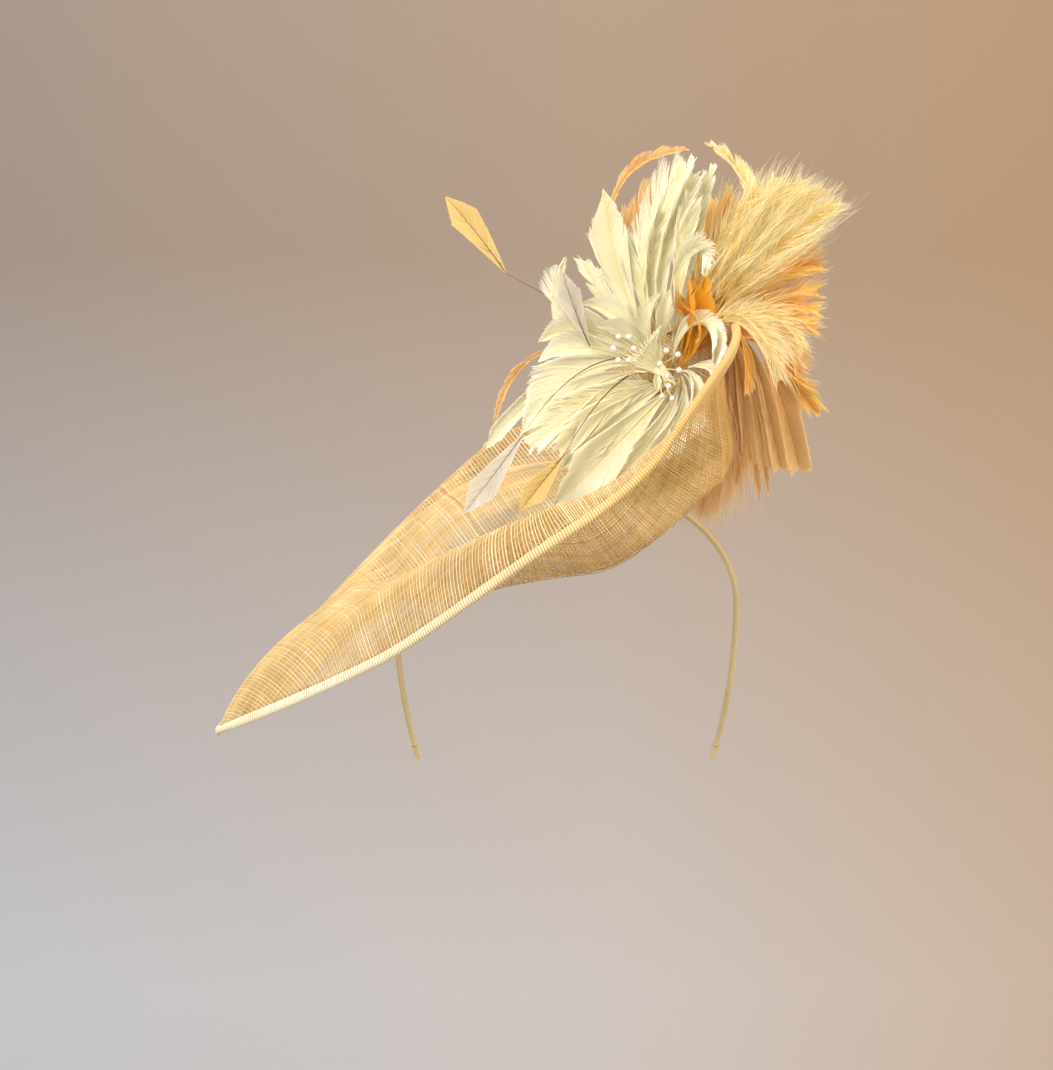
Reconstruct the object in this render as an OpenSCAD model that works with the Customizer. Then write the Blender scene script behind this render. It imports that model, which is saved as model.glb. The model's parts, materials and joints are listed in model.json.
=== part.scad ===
// Feathered sinamay headpiece on a sprung headband.
// The frame: +X to the wearer's left, -Y where the wearer looks, +Z up.
// The origin is the inside face of the headband at its highest point, which rests on the head.

/* [Brim] */
// Length of the brim from its centre to the back edge
brim_back = 112; // [100:1:120]
// Length of the brim from its centre to the pointed tip
brim_tip = 180; // [160:1:190]
// Half of the brim's width
brim_half_width = 82; // [74:1:90]
// How far the brim slopes down to its tip, in degrees
brim_tilt = 34.3; // [30:0.1:38]
// How far the brim leans towards the front, in degrees
brim_pitch = 18; // [14:0.5:22]
// Height of the rolled ridge above the edge at the sides
ridge_height = 15; // [12:0.5:18]
// Height of the back edge above the side edges
back_rise = 17; // [14:0.5:20]
// Lowest level of the bowl below the side edges
bowl_depth = 27; // [22:0.5:30]
// Thickness of one layer of sinamay
layer_thick = 0.8; // [0.6:0.1:0.9]

/* [Headband] */
// Half of the inside width of the headband
band_half_width = 77; // [74:0.5:80]
// Drop from the band's inside top to its widest place
band_shoulder = 58; // [54:1:62]
// Drop from the band's inside top to its ends
band_drop = 128; // [120:1:134]
// Thickness of the covered band
band_thick = 2.6; // [2.4:0.1:3]
// Width of the covered band
band_width = 8; // [7:0.5:9]
// How far the band leans back at its ends, in degrees
band_rake = 14; // [10:0.5:16]
// Width of the spring steel inside the band
core_width = 5; // [4:0.5:6]
// Thickness of the spring steel
core_thick = 0.8; // [0.6:0.1:1]
// Half of the length of the sewn crown part, measured across the head
crown_half = 50; // [48:1:52]

/* [Feathers] */
// Thickness of a feather blade
blade_thick = 0.8; // [0.6:0.1:1]
// Radius of a pearl
pearl_r = 1.25; // [1:0.05:1.4]
// Radius of the knot where all the stems meet
knot_r = 8; // [7:0.5:9]

/* [Hidden] */

brim_origin = [0, -28, 0];
brim_centre = -12;
along = [cos(brim_tilt), 0, sin(brim_tilt)];
upright = [-sin(brim_tilt), 0, cos(brim_tilt)];
across = cos(brim_pitch) * [0, 1, 0] + sin(brim_pitch) * upright;
normal = cos(brim_pitch) * upright + sin(brim_pitch) * [0, -1, 0];

// the dome that the bowl's floor follows, clear of the head and the band
dome_centre = [0, 22, -58];
dome_size = [85, 102, 66.5];

// the rolled ridge, inside the edge
ridge_back = 104;
ridge_tip = 95;
ridge_half_width = 68;
ridge_point = 1.4;
near_swell = 6;
far_sag = 3;
far_tip_sag = 18;
tip_drop = 5;
far_edge_sag = 6;
near_edge_lift = 6.5;

turns = 64;
wall_steps = [0.25, 0.5, 0.7, 0.79, 0.86, 0.9, 0.935, 0.97, 1];
flange_steps = [0.2, 0.4, 0.6, 0.8, 1];
ring_count = len(wall_steps) + len(flange_steps);

wire_r = 0.5;
wire_out = 0.7;
cut_gap = 0.35;
hub = [40, -29, 50];

cream = [0.95, 0.92, 0.76];
straw = [0.86, 0.73, 0.45];
satin = [0.80, 0.72, 0.50];
steel = [0.55, 0.56, 0.58];
amber = [0.92, 0.68, 0.16];
tan_gold = [0.80, 0.62, 0.38];

function unit(v) = v / norm(v);
function mix(a, b, t) = a + (b - a) * t;
function smooth_max(a, b, k) = (a + b + sqrt((a - b) * (a - b) + k * k)) / 2;
function signed_power(s, p) = sign(s) * pow(abs(s), p);
function to_world(p) = brim_origin + p.x * along + p.y * across + p.z * normal;

// level of the dome above the brim's own plane
function dome_level(u, v) =
    let (p = to_world([u, v, 0]) - dome_centre,
        q = [p.x / dome_size.x, p.y / dome_size.y, p.z / dome_size.z],
        d = [normal.x / dome_size.x, normal.y / dome_size.y, normal.z / dome_size.z],
        a = d * d, b = q * d, c = q * q - 1, rest = b * b - a * c)
    (-b + sign(rest) * sqrt(abs(rest))) / a;
function floor_level(u, v) = smooth_max(dome_level(u, v), -bowl_depth, 6);

// the edge and the ridge, round the brim from the back (0) by the far side to the tip (180)
function edge_at(turn) =
    let (x = cos(turn), s = sin(turn),
        lift = near_edge_lift * max(0, -s) * pow(max(0, 1 - pow((x + 0.05) / 0.5, 2)), 1.5))
    x >= 0
        ? [brim_centre + brim_back * x, brim_half_width * s,
            back_rise * pow(sin(90 * min(1, x / 0.85)), 2) + lift]
        : [brim_centre + brim_tip * x, brim_half_width * signed_power(s, 2),
            -tip_drop * x * x + far_edge_sag * max(0, s) * sin(180 * x) + lift];
function ridge_at(turn) =
    let (x = cos(turn), s = sin(turn))
    x >= 0
        ? [brim_centre + ridge_back * x, mix(ridge_half_width, 72, x) * s,
            ridge_height - 7 * sin(90 * min(1, x / 0.3)) + 2 * x]
        : [brim_centre + ridge_tip * x, ridge_half_width * signed_power(s, ridge_point),
            ridge_height - mix(mix(near_swell, -far_sag, 0.5), -far_sag, s) * sin(180 * x)
                - far_tip_sag * max(0, s) * pow(x, 4)];

// wall rise, 0 at the floor and 1 at the ridge; the near wall is the steepest
function wall_rise(f, turn) =
    let (foot = mix(0.7, 0.86, min(1, 1.5 * max(0, -sin(turn)))))
    f < foot ? 0 : pow(sin(90 * (f - foot) / (1 - foot)), 2);
function wall_point(turn, f) =
    let (r = ridge_at(turn), u = mix(brim_centre, r.x, f), v = r.y * f)
    [u, v, mix(floor_level(u, v), r.z, wall_rise(f, turn))];
function flange_point(turn, g) =
    let (r = ridge_at(turn), e = edge_at(turn), bend = 1.5 + 1.4 * pow(max(0, -cos(turn)), 4))
    [mix(r.x, e.x, g), mix(r.y, e.y, g), mix(r.z, e.z, pow(g, bend))];

function ring(turn) = concat([for (f = wall_steps) wall_point(turn, f)],
    [for (g = flange_steps) flange_point(turn, g)]);
rings = [for (i = [0:turns - 1]) ring(i * 360 / turns)];
middle = wall_point(0, 0);

function ring_normal(i, j) =
    let (near = rings[(i + turns - 1) % turns][j], far = rings[(i + 1) % turns][j],
        inner = j > 0 ? rings[i][j - 1] : middle,
        outer = rings[i][min(j + 1, ring_count - 1)])
    unit(cross(outer - inner, far - near));

// one layer of sinamay, between two distances from the middle surface
module layer(low, high) {
    sheet = function (off) concat([to_world(middle + [0, 0, off])],
        [for (i = [0:turns - 1]) for (j = [0:ring_count - 1])
            to_world(rings[i][j] + off * ring_normal(i, j))]);
    count = 1 + turns * ring_count;
    id = function (i, j) 1 + (i % turns) * ring_count + j;
    top = [for (i = [0:turns - 1]) each concat(
        [[0, id(i + 1, 0), id(i, 0)]],
        [for (j = [0:ring_count - 2]) each [
            [id(i, j), id(i + 1, j), id(i + 1, j + 1)],
            [id(i, j), id(i + 1, j + 1), id(i, j + 1)]]])];
    under = [for (t = top) [t[0] + count, t[2] + count, t[1] + count]];
    last = ring_count - 1;
    side = [for (i = [0:turns - 1]) each [
        [id(i, last), id(i + 1, last), id(i + 1, last) + count],
        [id(i, last), id(i + 1, last) + count, id(i, last) + count]]];
    polyhedron(concat(sheet(high), sheet(low)), concat(top, under, side));
}

// a closed section swept once round the edge; each section point is [outwards, upwards]
module edge_sweep(section) {
    n = len(section);
    last = ring_count - 1;
    points = [for (i = [0:turns - 1])
        let (e = unit(rings[i][last] - rings[i][last - 1]), up = ring_normal(i, last))
        for (s = section) to_world(rings[i][last] + s.x * e + s.y * up)];
    id = function (i, j) (i % turns) * n + j % n;
    faces = [for (i = [0:turns - 1]) for (j = [0:n - 1]) each [
        [id(i, j), id(i + 1, j + 1), id(i, j + 1)],
        [id(i, j), id(i + 1, j), id(i + 1, j + 1)]]];
    polyhedron(points, faces);
}

// inside line of the band at an angle from its top, widened by off
function arch(a, off) =
    let (x = sin(a), z = cos(a), drop = z >= 0 ? band_shoulder + off : 150)
    [(band_half_width + off) * x, -band_shoulder + drop * z];
crown_angle = asin(crown_half / band_half_width);
end_angle = 90 + asin((band_drop - band_shoulder) / 150);
gap_angle = cut_gap / band_half_width * 57.3;

module band_strip(from, to, low, high, width) {
    steps = ceil(abs(to - from) / 6);
    angles = [for (k = [0:steps]) mix(from, to, k / steps)];
    rotate([band_rake, 0, 0]) rotate([90, 0, 0]) translate([0, 0, -width / 2])
        linear_extrude(height = width)
            polygon(concat([for (a = angles) arch(a, low)],
                [for (k = [steps:-1:0]) arch(angles[k], high)]));
}
core_low = (band_thick - core_thick) / 2;
core_high = core_low + core_thick;
module band_cover(from, to, core_to) {
    difference() {
        band_strip(from, to, 0, band_thick, band_width);
        band_strip(from, core_to, core_low, core_high, core_width);
    }
}

// a feather's route is drawn as seen from the front; its slope sets how far it leans back
lean_reach = 60;
function curve(a, m, b, t) = mix(mix(a, m, t), mix(m, b, t), t);
function lean(p, slope) =
    let (far = norm([p.x - hub.x, p.y - hub.z]))
    [p.x, hub.y + slope * lean_reach * (1 - exp(-far / lean_reach)), p.y];
// a section of a feather: two edges and two faces, as four corners
function leaf(t) = max(0.06, pow(sin(180 * pow(t, 1.15)), 0.9));
function strap(t) = min(1, max(0.05, 3 * t));
function blade_section(route, slope, width, blunt, t) =
    let (c = lean(curve(route[0], route[1], route[2], t), slope),
        d = unit(lean(curve(route[0], route[1], route[2], t + 0.01), slope) - c),
        out = [c.x - hub.x, 0, c.z - hub.z], far = max(1, norm(out)),
        face = unit([-slope * out.x / far, 1, -slope * out.z / far]),
        side = unit(cross(d, face)), thick = cross(side, d),
        w = width / 2 * (blunt ? strap(t) : leaf(t)))
    [c + side * w, c + thick * blade_thick / 2, c - side * w, c - thick * blade_thick / 2];

module blade(route, slope, width, blunt = false) {
    steps = 7;
    for (k = [0:steps - 1]) {
        a = blade_section(route, slope, width, blunt, k / steps);
        b = blade_section(route, slope, width, blunt, (k + 1) / steps);
        hull() polyhedron(concat(a, b), [[0, 1, 2, 3], [7, 6, 5, 4]]);
    }
}
// blades from the knot's surface: each row is [bend point, tip point, width]
module fan(rows, slope, blunt = false) {
    for (r = rows) {
        centre = [hub.x, hub.z];
        start = centre + unit(r[0] - centre) * (knot_r + 2);
        blade([start, r[0], r[1]], slope, r[2], blunt);
    }
}
module rod(a, b, r) {
    v = b - a;
    translate(a) rotate([0, acos(v.z / norm(v)), atan2(v.y, v.x)]) cylinder(h = norm(v), r = r, $fn = 16);
}

module sinamay_top_layer() { color(straw) layer(0.05, 0.05 + layer_thick); }
module sinamay_under_layer() { color(straw) layer(-0.05 - layer_thick, -0.05); }
module rim_wire() {
    color(steel) edge_sweep([for (k = [0:7]) [wire_out + wire_r * cos(45 * k), wire_r * sin(45 * k)]]);
}
module rim_binding() {
    color(cream) edge_sweep([[-2, 1.15], [-2, 1.45], [0.4, 1.65], [1.7, 1.25], [2.1, 0], [1.7, -1.25],
        [0.4, -1.75], [-4, -1.5], [-4, -1.15], [0.2, -1.15], [1.4, -0.6], [1.4, 0.6], [0.2, 1.15]]);
}

stitch_places = [-30, -18, -6, 6, 18, 30];
stitch_r = 0.3;
module felt_strip() {
    color(straw) band_strip(-26, 26, band_thick + 0.1, band_thick + 1.3, band_width);
}
module tie_stitches() {
    color(cream) for (a = stitch_places) {
        foot = arch(a, -stitch_r - 0.15);
        head = arch(a, band_thick + 1.6);
        half = band_width / 2 + stitch_r + 0.1;
        rotate([band_rake, 0, 0]) union() {
            for (s = [-1, 1]) rod([foot.x, s * half, foot.y], [head.x, s * half, head.y], stitch_r);
            rod([foot.x, -half, foot.y], [foot.x, half, foot.y], stitch_r);
        }
    }
}

module band_core_crown() {
    color(steel) band_strip(-crown_angle, crown_angle, core_low, core_high, core_width);
}
module band_cover_crown() {
    color(satin) band_cover(-crown_angle, crown_angle, crown_angle);
}
module arm_core(s) {
    color(steel) band_strip(s * (crown_angle + gap_angle), s * (end_angle - 6), core_low, core_high,
        core_width);
}
module arm_cover(s) {
    color(satin) band_cover(s * (crown_angle + gap_angle), s * (end_angle - 1), s * (end_angle - 6));
}
module end_tab(s) {
    color(satin) band_strip(s * (end_angle - 1), s * (end_angle + 1.5), -0.2, band_thick + 0.2,
        band_width + 0.6);
}
module band_core_left() { arm_core(1); }
module band_cover_left() { arm_cover(1); }
module band_core_right() { arm_core(-1); }
module band_cover_right() { arm_cover(-1); }
module band_end_tab_left() { end_tab(1); }
module band_end_tab_right() { end_tab(-1); }

// the feathers stand on a disc on the bowl's floor; their stems lean back to the knot
disc_r = 10;
disc_thick = 3;
stem_r = 3;
tape_r = 3.8;
stem_lean = 16;
knot_u = (hub - brim_origin) * along;
knot_v = (hub - brim_origin) * across;
disc_u = knot_u - stem_lean;
disc_level = floor_level(disc_u - disc_r, knot_v) + layer_thick + 3.2;
stem_foot = to_world([disc_u, knot_v, disc_level + 0.8 * disc_thick]);
function on_stem(t) = mix(stem_foot, hub, t);
module disc() {
    translate(to_world([disc_u, knot_v, disc_level])) multmatrix([[along.x, across.x, normal.x, 0],
        [along.y, across.y, normal.y, 0], [along.z, across.z, normal.z, 0], [0, 0, 0, 1]])
            cylinder(h = disc_thick, r = disc_r, $fn = 64);
}
module stems() { rod(stem_foot, on_stem(0.84), stem_r); }
module feather_mount_disc() { color(straw) disc(); }
module stem_bundle() { color(tan_gold) difference() { stems(); disc(); } }
module stem_tape() {
    color(cream) difference() {
        rod(on_stem(0.2), on_stem(0.72), tape_r);
        rod(on_stem(0.1), on_stem(0.8), stem_r);
    }
}
module stem_knot() {
    color(tan_gold) difference() {
        translate(hub) sphere(r = knot_r, $fn = 48);
        stems();
    }
}

// stamens: wires with a pearl on each end, in three sprigs in front of the knot
sprigs = [[24.5, -52, 57.5, 6], [45, -53, 51, 5], [44, -52, 37.5, 3]];
function pearl_at(sprig, k) =
    let (p = sprigs[sprig], turn = 360 * k / p[3] + 40 * sprig, spread = p[3] > 3 ? 4.6 : 2.6)
    [p.x + spread * cos(turn), p.y + 1.6 * sin(3 * turn), p.z + spread * 1.3 * sin(turn)];
function wire_foot(p) = hub + (knot_r + 0.1) * unit(p - hub);
module stamen_wires() {
    color(cream) for (i = [0:len(sprigs) - 1]) for (k = [0:sprigs[i][3] - 1]) {
        p = pearl_at(i, k);
        rod(wire_foot(p), p - (pearl_r + 0.02) * unit(p - hub), 0.25);
    }
}
module pearls() {
    color("white") for (i = [0:len(sprigs) - 1]) for (k = [0:sprigs[i][3] - 1])
        translate(pearl_at(i, k)) sphere(r = pearl_r, $fn = 32);
}

module biot_tuft() {
    color(cream) fan([[[34, 60], [30, 68], 3], [[38, 61], [37, 71], 3], [[43, 62], [45, 71], 3],
        [[30, 55], [20, 62], 3]], -0.9);
}
module front_petals() {
    color(cream) fan([[[26, 14], [-6, -10], 21], [[14, 38], [-17, 19], 18]], -0.5);
}
module lower_petals() {
    color(cream) fan([[[50, 30], [57, 14], 12], [[42, 26], [46, 8], 14], [[33, 28], [30, 8], 12]], -0.66);
}
module left_petals() {
    color(cream) fan([[[16, 46], [-19, 23], 20], [[8, 52], [-14, 42], 14]], -0.34);
}
module upright_petals() {
    color(cream) fan([[[24, 86], [14, 128], 18], [[40, 100], [34, 122], 14],
        [[56, 94], [56, 142], 18]], -0.2);
}
module looped_feathers() {
    color(cream) fan([[[18, 76], [-2, 98], 9], [[12, 64], [-8, 74], 9], [[26, 84], [9, 104], 8]], -0.08);
}
module arched_feathers() {
    color(tan_gold) fan([[[10, 130], [55, 148], 7], [[56, 142], [86, 130], 9]], 0.06);
}
module side_arch_feathers() {
    color(tan_gold) fan([[[-24, 74], [-34, 23], 7], [[0, 52], [-36, 18], 6]], 0.1);
}
module trumpet_feather() { color(amber) fan([[[56, 66], [62, 86], 10]], -0.5); }
module ribbon_curl() { color(cream) fan([[[62, 56], [70, 66], 8]], -0.74); }
module hackle_spray() {
    color(cream) fan([[[58, 106], [92, 138], 6], [[68, 103], [109, 131], 6], [[75, 99], [122, 122], 6],
        [[78, 93], [120, 106], 6]], 0.2);
}
module amber_curls() {
    color(amber) fan([[[74, 110], [112, 112], 8], [[70, 110], [113, 94], 8], [[64, 110], [108, 78], 8]], 0.36);
}
module curled_wisps() {
    color(amber) fan([[[72, 128], [115, 52], 6], [[68, 126], [110, 38], 6]], 0.52);
}
module hanging_strips() {
    color(tan_gold) fan([[[74, 138], [112, 4], 8], [[70, 136], [103, -4], 8], [[66, 136], [95, -3], 8]],
        0.9, true);
}
module marabou_fluff() {
    color(tan_gold) fan([[[58, 138], [84, -4], 12], [[54, 140], [68, -16], 12]], 1.9);
}

// feathers on long stripped quills, each free to sway about its foot
quill_r = 0.45;
module long_feather(foot, bend, neck, tip, slope, width) {
    steps = 8;
    color(tan_gold) {
        for (k = [0:steps - 1]) hull() for (t = [k, k + 1] / steps)
            translate(lean(curve(foot, bend, neck, t), slope)) sphere(r = quill_r, $fn = 8);
        blade([neck, (neck + tip) / 2, tip], slope, width);
    }
}
module long_feather_upper() {
    long_feather([27.5, 59], [4, 76], [-27, 92], [-54, 126], -0.02, 13);
}
module long_feather_grey() {
    long_feather([30, 54], [4, 56], [-19, 20], [-45, -15], -0.78, 15);
}
module long_feather_gold() {
    long_feather([27, 46], [12, 36], [-2, 10], [-21, -14], -0.9, 12);
}

sinamay_top_layer();
sinamay_under_layer();
rim_wire();
rim_binding();
felt_strip();
tie_stitches();
band_core_crown();
band_cover_crown();
band_core_left();
band_cover_left();
band_core_right();
band_cover_right();
band_end_tab_left();
band_end_tab_right();
feather_mount_disc();
stem_bundle();
stem_tape();
stem_knot();
stamen_wires();
pearls();
biot_tuft();
front_petals();
lower_petals();
left_petals();
upright_petals();
looped_feathers();
arched_feathers();
side_arch_feathers();
trumpet_feather();
ribbon_curl();
hackle_spray();
amber_curls();
curled_wisps();
hanging_strips();
marabou_fluff();
long_feather_upper();
long_feather_grey();
long_feather_gold();
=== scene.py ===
"""The feathered sinamay headpiece: its looks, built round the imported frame.

Lengths are in millimetres, up to new_piece, which turns them into metres. The brim's formulas are those
of the part's own source, and the feathers keep to the space that its feather solids hold.
A feather's route is drawn as seen from the front, as (x, z), and its slope sets how far it leans back.
"""
import json
import math

import bpy
import numpy as np
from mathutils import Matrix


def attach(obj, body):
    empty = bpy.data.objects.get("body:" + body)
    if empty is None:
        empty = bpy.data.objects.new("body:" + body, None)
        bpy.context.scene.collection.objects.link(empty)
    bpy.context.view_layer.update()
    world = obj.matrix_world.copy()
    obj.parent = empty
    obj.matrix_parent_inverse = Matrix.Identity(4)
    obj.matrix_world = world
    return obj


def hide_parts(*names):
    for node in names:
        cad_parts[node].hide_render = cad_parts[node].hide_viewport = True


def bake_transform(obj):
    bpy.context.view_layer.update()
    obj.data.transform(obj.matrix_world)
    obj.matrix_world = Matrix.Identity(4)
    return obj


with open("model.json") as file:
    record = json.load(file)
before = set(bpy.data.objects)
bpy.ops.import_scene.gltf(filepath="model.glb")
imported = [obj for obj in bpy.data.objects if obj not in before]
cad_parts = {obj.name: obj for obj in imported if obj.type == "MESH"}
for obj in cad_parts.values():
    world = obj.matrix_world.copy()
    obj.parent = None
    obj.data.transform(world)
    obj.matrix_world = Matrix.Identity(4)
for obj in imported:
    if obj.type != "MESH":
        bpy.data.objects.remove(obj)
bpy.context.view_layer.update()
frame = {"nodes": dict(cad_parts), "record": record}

MM = 0.001

# ---------------------------------------------------------------- the brim's shape, in mm
BRIM_ORIGIN = np.array([0.0, -28.0, 0.0])
BRIM_CENTRE = -12.0
BRIM_BACK, BRIM_TIP, HALF_WIDTH = 112.0, 180.0, 82.0
TILT, PITCH = math.radians(34.3), math.radians(18.0)
RIDGE_HEIGHT, NEAR_SWELL, FAR_SAG, FAR_TIP_SAG = 15.0, 6.0, 3.0, 18.0
BACK_RISE, TIP_DROP, FAR_EDGE_SAG, NEAR_EDGE_LIFT = 17.0, 5.0, 6.0, 6.5
RIDGE_BACK, RIDGE_TIP, RIDGE_HALF_WIDTH, RIDGE_BACK_WIDTH = 104.0, 95.0, 68.0, 72.0
BOWL_DEPTH = 27.0
WALL_FOOT, NEAR_WALL_FOOT = 0.7, 0.86
FLANGE_BEND, TIP_FLANGE_BEND = 1.5, 2.9
DOME_CENTRE = np.array([0.0, 22.0, -58.0])
DOME_SIZE = np.array([85.0, 102.0, 66.5])

ALONG = np.array([math.cos(TILT), 0, math.sin(TILT)])
UPRIGHT = np.array([-math.sin(TILT), 0, math.cos(TILT)])
ACROSS = math.cos(PITCH) * np.array([0, 1, 0]) + math.sin(PITCH) * UPRIGHT
NORMAL = math.cos(PITCH) * UPRIGHT - math.sin(PITCH) * np.array([0, 1, 0])


def unit(v):
    return v / np.maximum(np.linalg.norm(v, axis=-1, keepdims=True), 1e-9)


def smoothstep(low, high, x):
    """0 below low, 1 above high, and a soft step between."""
    t = np.clip((x - low) / (high - low), 0, 1)
    return t * t * (3 - 2 * t)


def to_world(u, v, h):
    """Brim coordinates, along it, across it and off it, as places of the shared frame."""
    return BRIM_ORIGIN + u[..., None] * ALONG + v[..., None] * ACROSS + h[..., None] * NORMAL


def floor_level(u, v):
    """The bowl's floor, which lies on the dome of the head and stays a bowl's depth down elsewhere."""
    q = (to_world(u, v, np.zeros_like(u)) - DOME_CENTRE) / DOME_SIZE
    d = NORMAL / DOME_SIZE
    a, b, c = d @ d, q @ d, (q * q).sum(-1) - 1
    rest = b * b - a * c
    dome = (-b + np.sign(rest) * np.sqrt(np.abs(rest))) / a
    return (dome - BOWL_DEPTH + np.sqrt((dome + BOWL_DEPTH) ** 2 + 36)) / 2


def edge_at(turn):
    """The brim's outer edge, as (u, v, h), over the turn: 0 is the back and pi is the tip."""
    x, s = np.cos(turn), np.sin(turn)
    back = x >= 0
    lift = BACK_RISE * np.sin(math.pi / 2 * np.clip(x / 0.85, 0, 1)) ** 2
    sag = -TIP_DROP * x * x + FAR_EDGE_SAG * np.maximum(0, s) * np.sin(math.pi * np.minimum(x, 0))
    near = NEAR_EDGE_LIFT * np.maximum(0, -s) * np.maximum(0, 1 - ((x + 0.05) / 0.5) ** 2) ** 1.5
    return (BRIM_CENTRE + np.where(back, BRIM_BACK, BRIM_TIP) * x,
            HALF_WIDTH * np.where(back, s, s * np.abs(s)),
            np.where(back, lift, sag) + near)


def ridge_at(turn):
    """The ridge where the bowl's wall turns over into the flange, as (u, v, h)."""
    x, s = np.cos(turn), np.sin(turn)
    back = x >= 0
    xb = np.clip(x, 0, 1)
    wide = RIDGE_HALF_WIDTH + (RIDGE_BACK_WIDTH - RIDGE_HALF_WIDTH) * xb
    dip = -7 * np.sin(math.pi / 2 * np.clip(x / 0.3, 0, 1)) + 2 * xb
    middle = (NEAR_SWELL - FAR_SAG) / 2
    swell = middle + (-FAR_SAG - middle) * s
    return (BRIM_CENTRE + np.where(back, RIDGE_BACK, RIDGE_TIP) * x,
            np.where(back, wide * s, RIDGE_HALF_WIDTH * np.sign(s) * np.abs(s) ** 1.4),
            RIDGE_HEIGHT + np.where(back, dip, -swell * np.sin(math.pi * np.minimum(x, 0))
                                    - FAR_TIP_SAG * np.maximum(0, s) * x ** 4))


class Brim:
    """The brim's middle surface as a table over the turn and the share of the way to the edge."""

    turns, steps = 540, 200

    def __init__(self):
        turn = np.arange(self.turns) / self.turns * 2 * math.pi
        (ru, rv, rh), (eu, ev, eh) = ridge_at(turn), edge_at(turn)
        f = np.linspace(0, 1, 120)[None, :]
        g = np.linspace(0, 1, 80)[None, 1:]
        wall_u = BRIM_CENTRE + (ru[:, None] - BRIM_CENTRE) * f
        wall_v = rv[:, None] * f
        near = np.minimum(1, 1.5 * np.maximum(0, -np.sin(turn)))[:, None]
        foot = WALL_FOOT + (NEAR_WALL_FOOT - WALL_FOOT) * near
        rise = np.sin(math.pi / 2 * np.clip((f - foot) / (1 - foot), 0, 1)) ** 2
        wall_h = floor_level(wall_u, wall_v)
        wall_h = wall_h + (rh[:, None] - wall_h) * rise
        u = np.concatenate([wall_u, ru[:, None] + (eu - ru)[:, None] * g], 1)
        v = np.concatenate([wall_v, rv[:, None] + (ev - rv)[:, None] * g], 1)
        bend = FLANGE_BEND + (TIP_FLANGE_BEND - FLANGE_BEND) * np.maximum(0, -np.cos(turn))[:, None] ** 4
        h = np.concatenate([wall_h, rh[:, None] + (eh - rh)[:, None] * g ** bend], 1)
        points = to_world(u, v, h)
        length = np.linalg.norm(np.diff(points, axis=1), axis=2).cumsum(1)
        length = np.concatenate([np.zeros((self.turns, 1)), length], 1)
        self.reach = length[:, -1]
        share = np.linspace(0, 1, self.steps)
        self.points = np.stack([
            np.stack([np.interp(share * reach, to_here, row[:, k]) for k in range(3)], -1)
            for reach, to_here, row in zip(self.reach, length, points)])
        outward = np.gradient(self.points, axis=1)
        sideways = np.roll(self.points, -1, 0) - np.roll(self.points, 1, 0)
        normals = unit(np.cross(outward, sideways))
        normals[:, 0] = unit(normals[:, 1:6].mean((0, 1)))
        self.normals = normals
        self.heading = np.unwrap(np.arctan2(rv, ru - BRIM_CENTRE))

    def pick(self, table, turn_index, share):
        """A smooth look-up in a table of points or normals."""
        i0 = np.floor(turn_index).astype(int)
        j = np.clip(share, 0, 1) * (self.steps - 1)
        j0 = np.minimum(np.floor(j).astype(int), self.steps - 2)
        a, b = (turn_index - i0)[..., None], (j - j0)[..., None]
        i0, i1 = i0 % self.turns, (i0 + 1) % self.turns
        low = table[i0, j0] * (1 - b) + table[i0, j0 + 1] * b
        high = table[i1, j0] * (1 - b) + table[i1, j0 + 1] * b
        return low * (1 - a) + high * a

    def lay(self, x, y):
        """Where a point of the flat cloth lies: its place, its normal, and whether it is on the brim."""
        heading = np.mod(np.arctan2(y, x), 2 * math.pi)
        index = np.interp(heading, np.append(self.heading, 2 * math.pi), np.arange(self.turns + 1))
        reach = np.interp(index, np.arange(self.turns + 1), np.append(self.reach, self.reach[0]))
        share = np.hypot(x, y) / reach
        return (self.pick(self.points, index, share), unit(self.pick(self.normals, index, share)),
                share < 0.995)


brim = Brim()


# ---------------------------------------------------------------- meshes
def new_piece(name, verts, faces, material, tint=None):
    """A mesh object from millimetres; tint is one number a vertex, for the material."""
    mesh = bpy.data.meshes.new(name)
    places = (np.asarray(verts) * MM).tolist()
    mesh.from_pydata([tuple(v) for v in places], [], [tuple(f) for f in faces])
    mesh.polygons.foreach_set("use_smooth", [True] * len(mesh.polygons))
    if tint is not None:
        layer = mesh.attributes.new("tint", "FLOAT", "POINT")
        layer.data.foreach_set("value", np.asarray(tint, dtype=np.float32))
    mesh.materials.append(material)
    mesh.update()
    obj = bpy.data.objects.new(name, mesh)
    bpy.context.scene.collection.objects.link(obj)
    return obj


def grid_faces(rows, columns, closed_rows=False, closed_columns=False):
    """Quads over a rows by columns grid of vertices."""
    i = np.arange(rows if closed_rows else rows - 1)[:, None]
    j = np.arange(columns if closed_columns else columns - 1)[None, :]
    i1, j1 = (i + 1) % rows, (j + 1) % columns
    quads = np.stack([i * columns + j, i1 * columns + j, i1 * columns + j1, i * columns + j1], -1)
    return quads.reshape(-1, 4)


# ---------------------------------------------------------------- materials
def linear(r, g, b):
    """A colour given as it looks on a screen, 0 to 255."""
    return tuple((c / 255) ** 2.2 for c in (r, g, b)) + (1.0,)


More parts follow.
